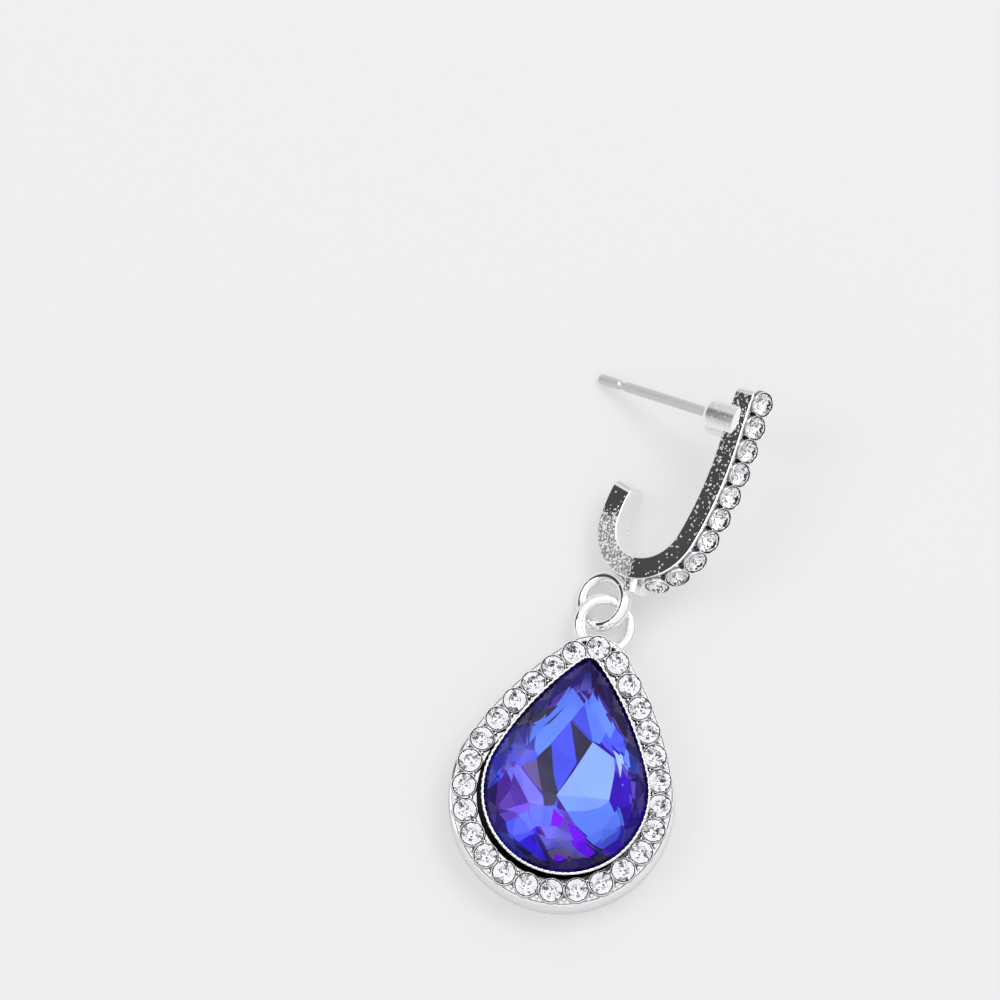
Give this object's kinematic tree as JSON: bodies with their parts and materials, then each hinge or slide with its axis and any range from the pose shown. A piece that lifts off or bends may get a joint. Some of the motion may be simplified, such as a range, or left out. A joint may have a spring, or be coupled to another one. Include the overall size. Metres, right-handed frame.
{
  "type": "teardrop drop earring",
  "caption": "Drop earring: a J-shaped half hoop with a post and a row of round crystals, linked to a teardrop pendant with a blue pear-cut crystal in a halo of round crystals.",
  "frame": {"origin": "centre of the pear outline's round end, on the flat back of the pendant", "axes": "+Y from the pendant's round end to its tip and on to the hook, +Z out of the pendant's front, +X to the right as seen from the front"},
  "size_m": [0.0181, 0.0437, 0.0094],
  "materials": {
    "plated_metal": "bright white plated casting",
    "post_steel": "drawn surgical steel, dull grey",
    "clear_crystal": "cut clear crystal",
    "blue_crystal": "cut sapphire-blue crystal with a mirror back"
  },
  "bodies": {
    "root": {"halo_frame": "plated_metal", "stone_cup": "plated_metal", "ear_hook": "plated_metal", "ear_post": "post_steel", "pear_stone": "blue_crystal", "halo_stone_01": "clear_crystal", "halo_stone_02": "clear_crystal", "halo_stone_03": "clear_crystal", "halo_stone_04": "clear_crystal", "halo_stone_05": "clear_crystal", "halo_stone_06": "clear_crystal", "halo_stone_07": "clear_crystal", "halo_stone_08": "clear_crystal", "halo_stone_09": "clear_crystal", "halo_stone_10": "clear_crystal", "halo_stone_11": "clear_crystal", "halo_stone_12": "clear_crystal", "halo_stone_13": "clear_crystal", "halo_stone_14": "clear_crystal", "halo_stone_15": "clear_crystal", "halo_stone_16": "clear_crystal", "halo_stone_17": "clear_crystal", "halo_stone_18": "clear_crystal", "halo_stone_19": "clear_crystal", "halo_stone_20": "clear_crystal", "halo_stone_21": "clear_crystal", "halo_stone_22": "clear_crystal", "halo_stone_23": "clear_crystal", "halo_stone_24": "clear_crystal", "halo_stone_25": "clear_crystal", "halo_stone_26": "clear_crystal", "halo_stone_27": "clear_crystal", "hook_stone_01": "clear_crystal", "hook_stone_02": "clear_crystal", "hook_stone_03": "clear_crystal", "hook_stone_04": "clear_crystal", "hook_stone_05": "clear_crystal", "hook_stone_06": "clear_crystal", "hook_stone_07": "clear_crystal", "hook_stone_08": "clear_crystal", "hook_stone_09": "clear_crystal", "hook_stone_10": "clear_crystal"}
  },
  "joints": []
}
